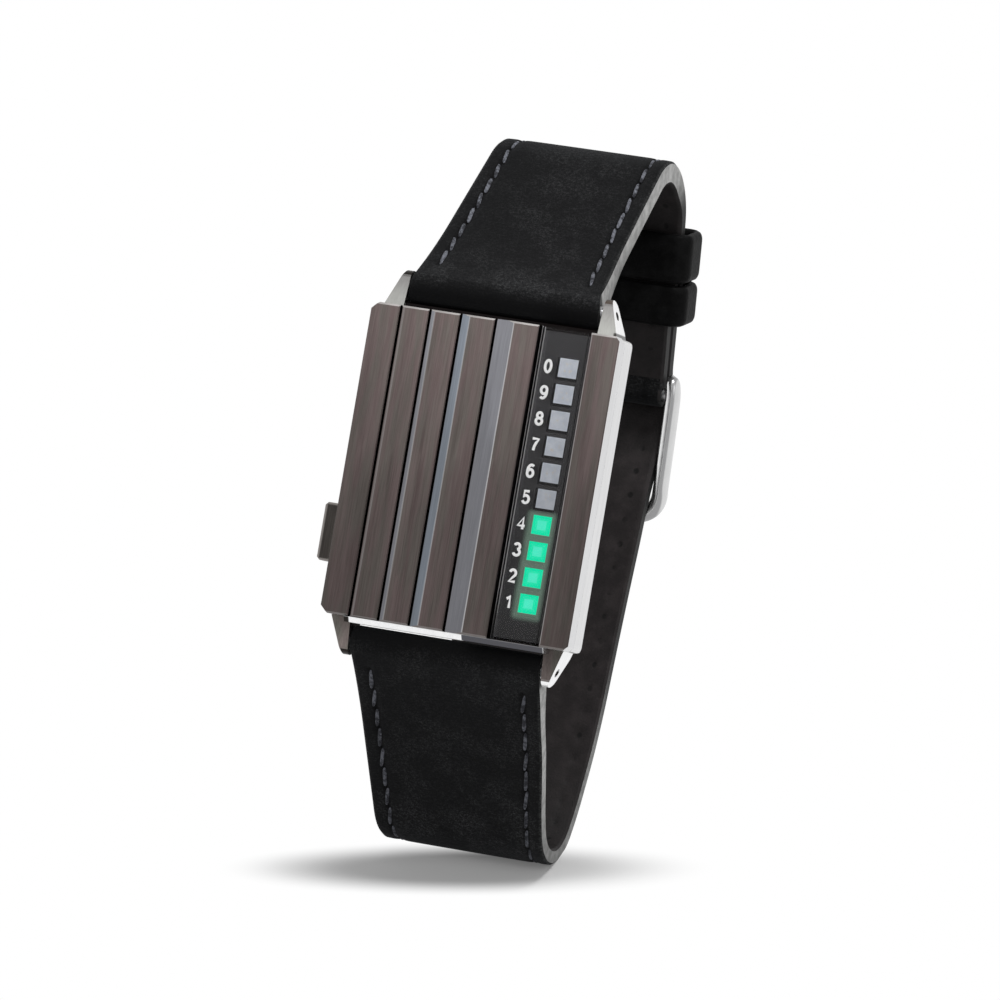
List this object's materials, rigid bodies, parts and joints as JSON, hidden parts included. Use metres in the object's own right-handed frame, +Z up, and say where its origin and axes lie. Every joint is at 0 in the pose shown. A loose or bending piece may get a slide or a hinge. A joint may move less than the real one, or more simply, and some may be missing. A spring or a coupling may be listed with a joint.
{
  "type": "wristwatch",
  "caption": "Rectangular wristwatch with a stepped slatted steel face, a side column of square lights with plain numerals, a side pusher and a buckled leather strap.",
  "frame": {"origin": "centre of the flat on which the closed strap stands, in the mid plane of the case", "axes": "+Z up with the watch standing on its strap, -Y towards the dial, +X to the dial's right, so the pusher is at -X"},
  "size_m": [0.0332, 0.0618, 0.075],
  "materials": {
    "gunmetal": "dark plated, brushed",
    "slat_steel": "dark plated, brushed",
    "lens": "clear dark",
    "black_plastic": "matte",
    "light_window": "translucent",
    "white_plastic": "matte",
    "board": "solder mask",
    "bright_steel": "satin",
    "spring_metal": "satin",
    "seal": "matte",
    "strap_leather": "suede",
    "polished_steel": "polished"
  },
  "bodies": {
    "watch": {"mid_case": "gunmetal", "left_bar": "slat_steel", "slat_2": "slat_steel", "slat_3": "slat_steel", "slat_4": "slat_steel", "slat_5": "slat_steel", "right_bar": "slat_steel", "display_lens": "lens", "light_guide": "black_plastic", "light_tiles": "light_window", "led_chips": "white_plastic", "module_board": "board", "module_holder": "white_plastic", "coin_cell": "bright_steel", "cell_clip": "spring_metal", "case_back": "gunmetal", "back_gasket": "seal", "back_screws": "bright_steel", "pusher_spring": "bright_steel", "pusher_seal": "seal", "top_bar_tube": "bright_steel", "top_bar_spring": "bright_steel", "low_bar_tube": "bright_steel", "low_bar_spring": "bright_steel", "upper_strap": "strap_leather", "lower_strap": "strap_leather", "fixed_keeper": "strap_leather", "buckle_bar": "bright_steel"},
    "pusher": {"pusher": "gunmetal", "pusher_clip": "bright_steel"},
    "top_left_tip": {"top_left_tip": "bright_steel"},
    "top_right_tip": {"top_right_tip": "bright_steel"},
    "low_left_tip": {"low_left_tip": "bright_steel"},
    "low_right_tip": {"low_right_tip": "bright_steel"},
    "free_keeper": {"free_keeper": "strap_leather"},
    "buckle": {"buckle_frame": "polished_steel"},
    "tongue": {"buckle_tongue": "polished_steel"}
  },
  "joints": [
    {"name": "pusher_press", "type": "slide", "parent": "watch", "child": "pusher", "axis": [1, 0, 0], "range_m": [0, 0.0007], "stiffness_N_per_m": 2000, "springref_m": -0.0003},
    {"name": "top_left_tip_slide", "type": "slide", "parent": "watch", "child": "top_left_tip", "axis": [1, 0, 0], "range_m": [0, 0.0009], "stiffness_N_per_m": 1500, "springref_m": -0.001},
    {"name": "top_right_tip_slide", "type": "slide", "parent": "watch", "child": "top_right_tip", "axis": [-1, 0, 0], "range_m": [0, 0.0009], "stiffness_N_per_m": 1500, "springref_m": -0.001},
    {"name": "low_left_tip_slide", "type": "slide", "parent": "watch", "child": "low_left_tip", "axis": [1, 0, 0], "range_m": [0, 0.0009], "stiffness_N_per_m": 1500, "springref_m": -0.001},
    {"name": "low_right_tip_slide", "type": "slide", "parent": "watch", "child": "low_right_tip", "axis": [-1, 0, 0], "range_m": [0, 0.0009], "stiffness_N_per_m": 1500, "springref_m": -0.001},
    {"name": "keeper_slide", "type": "slide", "parent": "watch", "child": "free_keeper", "axis": [0, 0.2756, 0.9613], "range_m": [0, 0.0009]},
    {"name": "buckle_swing", "type": "hinge", "parent": "watch", "child": "buckle", "pos_m": [0, 0.03736, 0.04414], "axis": [1, 0, 0], "range_deg": [0, 5]},
    {"name": "tongue_swing", "type": "hinge", "parent": "buckle", "child": "tongue", "pos_m": [0, 0.03736, 0.04414], "axis": [1, 0, 0], "range_deg": [0, 5]}
  ]
}
